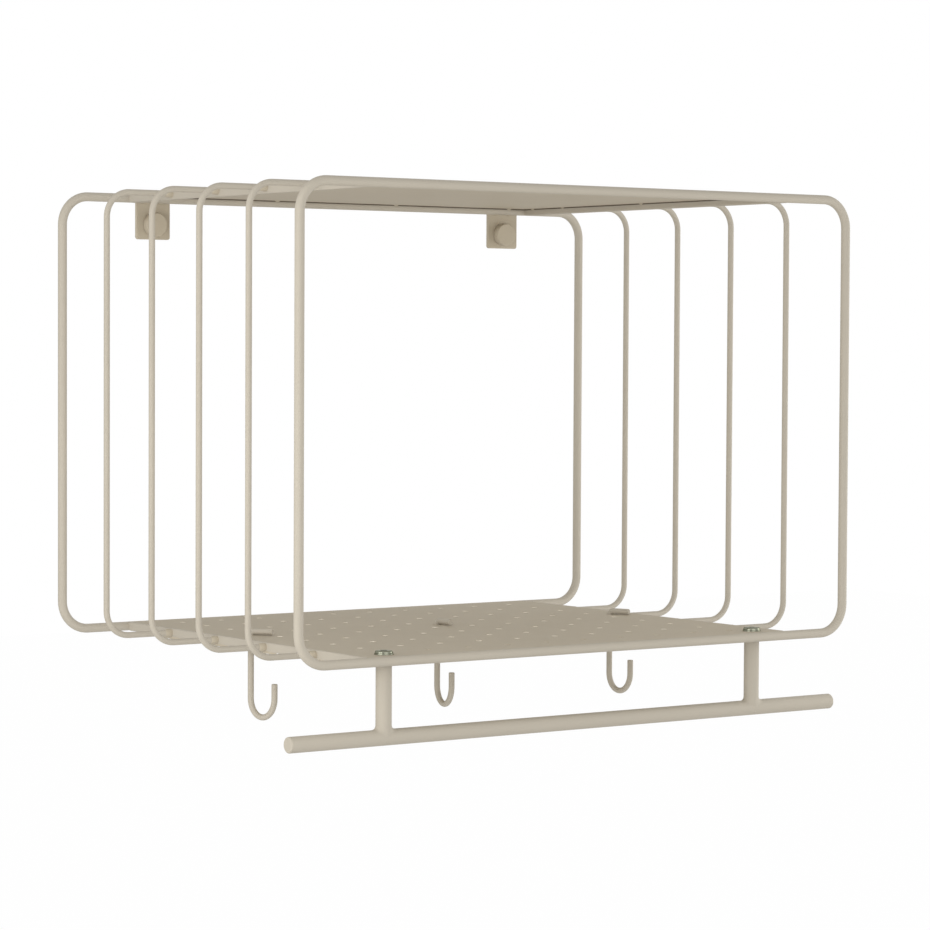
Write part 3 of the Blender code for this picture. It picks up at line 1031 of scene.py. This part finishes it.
class HATSHELF_OT_welds(bpy.types.Operator):
    """Make the welds under the paint: at the rods, the rail, the tabs and the sheets; and the painted
    shadow line under the upper sheet.
    """

    bl_idname = "hat_shelf.welds"
    bl_label = "Welds"

    def execute(self, context):
        sizes = context.scene.hat_shelf_sizes
        self.rod_welds(sizes.weld_collar, sizes.weld_length)
        self.rail_welds(sizes.rail_weld)
        self.sheet_stitches(sizes.stitch_length)
        self.seam()
        return {"FINISHED"}

    def rod_welds(self, leg, length):
        """A small collar where each rod meets its side bar, and a bead under the lower bar."""
        mesh = bmesh.new()
        for node in RODS:
            side, y, _, top, bottom = rod_ends(node)
            for height in (top, bottom):
                centre = Vector((side * SIDE_BAR_OUTSIDE, y, height))
                outward = Vector((side, 0, 0))
                weld_collar(mesh, centre, outward, ROD_BAR / 2, leg, length, WIRE_SIDES)
            under = Vector((side * (SIDE_BAR_OUTSIDE - SIDE_BAR_THICKNESS / 2), y, LOOP_LOW.z))
            deep = Vector((0, 1, 0))
            stitch(mesh, under, deep, UNDER_BAR_LENGTH, SIDE_BAR_THICKNESS, UNDER_BAR_HEIGHT)
        for vertex in mesh.verts:
            vertex.co.z = min(vertex.co.z, LOOP_HIGH.z)
        piece_of("rod_welds", mesh, MAIN_BODY, "sheet_coat")

    def rail_welds(self, leg):
        """The rounded weld under each post."""
        mesh = bmesh.new()
        for sign in SIDES.values():
            place = Vector((sign * post_across(), RAIL_CENTRE.y, RAIL_CENTRE.z))
            saddle_weld(mesh, place, RAIL_BAR / 2, leg)
        piece_of("rail_welds", mesh, MAIN_BODY, "bar_coat")

    def sheet_stitches(self, length):
        """Short beads from below along both sheets' edges, and along the wall tabs' tops."""
        mesh = bmesh.new()
        across = Vector((1, 0, 0))
        deep = Vector((0, 1, 0))
        for node in ("top_sheet", "bottom_sheet"):
            low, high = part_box(node)
            level = low.z + STITCH_SINK
            for x in STITCHES_ACROSS:
                for y in (low.y - SEAM_GAP, high.y + SEAM_GAP):
                    place = Vector((x, y, level))
                    stitch(mesh, place, across, length, STITCH_WIDTH, STITCH_HEIGHT)
            for y in STITCHES_DEEP:
                for x in (low.x - SEAM_GAP, high.x + SEAM_GAP):
                    place = Vector((x, y, level))
                    stitch(mesh, place, deep, length, STITCH_WIDTH, STITCH_HEIGHT)
        for side in SIDES:
            tab_low, tab_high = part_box(f"wall_tab_{side}")
            middle = (tab_low.x + tab_high.x) / 2
            under_loop = LOOP_HIGH.z - LOOP_BAR
            for offset in (-TAB_STITCH_SPREAD, TAB_STITCH_SPREAD):
                place = Vector((middle + offset, tab_low.y - TAB_STITCH_STAND, under_loop))
                stitch(mesh, place, across, length, TAB_STITCH_WIDTH, TAB_STITCH_HEIGHT)
        piece_of("sheet_stitches", mesh, MAIN_BODY, "sheet_coat")

    def seam(self):
        """A painted shadow: a thin dark strip under the upper sheet's edges, where shade falls in the
        seams.
        """
        mesh = bmesh.new()
        low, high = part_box("top_sheet")
        half = SEAM_SHADOW_WIDTH / 2
        under = low.z - SEAM_SHADOW_DEPTH
        for x in (low.x, high.x):
            add_block(mesh, Vector((x - half, low.y, under)), Vector((x + half, high.y, low.z)))
        for y in (low.y, high.y):
            add_block(mesh, Vector((low.x, y - half, under)), Vector((high.x, y + half, low.z)))
        piece_of("upper_seam_shadow", mesh, MAIN_BODY, "seam_shadow_coat")


class HATSHELF_OT_stage(bpy.types.Operator):
    """Set the floor, the lights, the white surround and the camera."""

    bl_idname = "hat_shelf.stage"
    bl_label = "Stage"

    def execute(self, context):
        scene = context.scene
        scene.view_settings.view_transform = "Standard"
        self.floor(scene)
        self.surround(scene)
        self.lamps(scene)
        self.camera(scene)
        return {"FINISHED"}

    def floor(self, scene):
        """A plain pale floor below the shelf, which shows white and keeps the shadow."""
        mesh = bmesh.new()
        bmesh.ops.create_grid(mesh, x_segments=1, y_segments=1, size=FLOOR_HALF)
        data = bpy.data.meshes.new("floor")
        mesh.to_mesh(data)
        mesh.free()
        floor = bpy.data.objects.new("floor", data)
        floor.location = (0, 0, FLOOR_LEVEL)
        scene.collection.objects.link(floor)
        material = bpy.data.materials.new("pale_floor")
        material.use_nodes = True
        nodes = material.node_tree.nodes
        links = material.node_tree.links
        shader = nodes["Principled BSDF"]
        colour = scene.hat_shelf_colours.floor
        shader.inputs["Base Color"].default_value = (*colour, 1)
        shader.inputs["Roughness"].default_value = 0.9
        seen = self.seen_directly(nodes, links)
        glow = nodes.new("ShaderNodeEmission")
        glow.inputs["Strength"].default_value = 1
        shown = nodes.new("ShaderNodeMixShader")
        shown.inputs["Fac"].default_value = FLOOR_WHITENESS
        links.new(shader.outputs["BSDF"], shown.inputs[1])
        links.new(glow.outputs["Emission"], shown.inputs[2])
        choice = nodes.new("ShaderNodeMixShader")
        links.new(seen, choice.inputs["Fac"])
        links.new(shader.outputs["BSDF"], choice.inputs[1])
        links.new(shown.outputs["Shader"], choice.inputs[2])
        links.new(choice.outputs["Shader"], nodes["Material Output"].inputs["Surface"])
        data.materials.append(material)

    def seen_directly(self, nodes, links):
        """One where a ray comes from the camera, a reflection or glass, else zero."""
        path = nodes.new("ShaderNodeLightPath")
        total = path.outputs["Is Camera Ray"]
        for kind in ("Is Glossy Ray", "Is Transmission Ray"):
            larger = nodes.new("ShaderNodeMath")
            larger.operation = "MAXIMUM"
            links.new(total, larger.inputs[0])
            links.new(path.outputs[kind], larger.inputs[1])
            total = larger.outputs["Value"]
        return total

    def surround(self, scene):
        """A white surround to look at, and a softer one to light by."""
        world = bpy.data.worlds.new("white_surround")
        scene.world = world
        world.use_nodes = True
        nodes = world.node_tree.nodes
        links = world.node_tree.links
        soft = nodes["Background"]
        soft.inputs["Color"].default_value = (1, 1, 1, 1)
        soft.inputs["Strength"].default_value = SURROUND_LIGHT
        white = nodes.new("ShaderNodeBackground")
        white.inputs["Color"].default_value = (1, 1, 1, 1)
        white.inputs["Strength"].default_value = 1
        choice = nodes.new("ShaderNodeMixShader")
        links.new(self.seen_directly(nodes, links), choice.inputs["Fac"])
        links.new(soft.outputs["Background"], choice.inputs[1])
        links.new(white.outputs["Background"], choice.inputs[2])
        links.new(choice.outputs["Shader"], nodes["World Output"].inputs["Surface"])

    def lamps(self, scene):
        """Large soft lights level with the shelf: left, weaker on the right, and before it."""
        for name, offset, power, size in LAMPS:
            light = bpy.data.lights.new(name, "AREA")
            light.energy = power
            light.size = size
            lamp = bpy.data.objects.new(name, light)
            lamp.location = LAMPS_AIM + offset
            lamp.rotation_euler = (-offset).to_track_quat("-Z", "Y").to_euler()
            scene.collection.objects.link(lamp)

    def camera(self, scene):
        """The camera at the photograph's place and angle."""
        data = bpy.data.cameras.new("view")
        data.lens = CAMERA_LENS
        data.sensor_width = CAMERA_SENSOR
        camera = bpy.data.objects.new("view", data)
        turn = Euler((math.radians(90) + CAMERA_PITCH, 0, -CAMERA_YAW)).to_matrix()
        roll = Matrix.Rotation(CAMERA_ROLL, 3, "Z")
        camera.matrix_world = Matrix.Translation(CAMERA_PLACE) @ (turn @ roll).to_4x4()
        scene.collection.objects.link(camera)
        scene.camera = camera


STEPS = (
    HATSHELF_OT_stage,
    HATSHELF_OT_loops,
    HATSHELF_OT_side_rods,
    HATSHELF_OT_side_bars,
    HATSHELF_OT_sheets,
    HATSHELF_OT_wall_tabs,
    HATSHELF_OT_coat_rail,
    HATSHELF_OT_screws,
    HATSHELF_OT_hooks,
    HATSHELF_OT_welds,
)


class HATSHELF_PT_panel(bpy.types.Panel):
    """Sizes, colours and steps of the hat shelf."""

    bl_idname = "HATSHELF_PT_panel"
    bl_label = "Hat Shelf"
    bl_space_type = "VIEW_3D"
    bl_region_type = "UI"
    bl_category = "Hat Shelf"

    def draw(self, context):
        layout = self.layout
        for group in (context.scene.hat_shelf_sizes, context.scene.hat_shelf_colours):
            box = layout.box()
            for name in group.__annotations__:
                box.prop(group, name)
        for step in STEPS:
            layout.operator(step.bl_idname)


CLASSES = (HatShelfSizes, HatShelfColours, *STEPS, HATSHELF_PT_panel)


def register():
    """Add the shelf's properties, operators and panel."""
    for item in CLASSES:
        bpy.utils.register_class(item)
    scene_type = bpy.types.Scene
    scene_type.hat_shelf_sizes = bpy.props.PointerProperty(type=HatShelfSizes)
    scene_type.hat_shelf_colours = bpy.props.PointerProperty(type=HatShelfColours)


def unregister():
    """Take the shelf's properties, operators and panel away again."""
    del bpy.types.Scene.hat_shelf_sizes
    del bpy.types.Scene.hat_shelf_colours
    for item in reversed(CLASSES):
        bpy.utils.unregister_class(item)


def main():
    """Dress the whole shelf."""
    register()
    for step in STEPS:
        group, name = step.bl_idname.split(".")
        getattr(getattr(bpy.ops, group), name)()


if __name__ == "__main__":
    main()
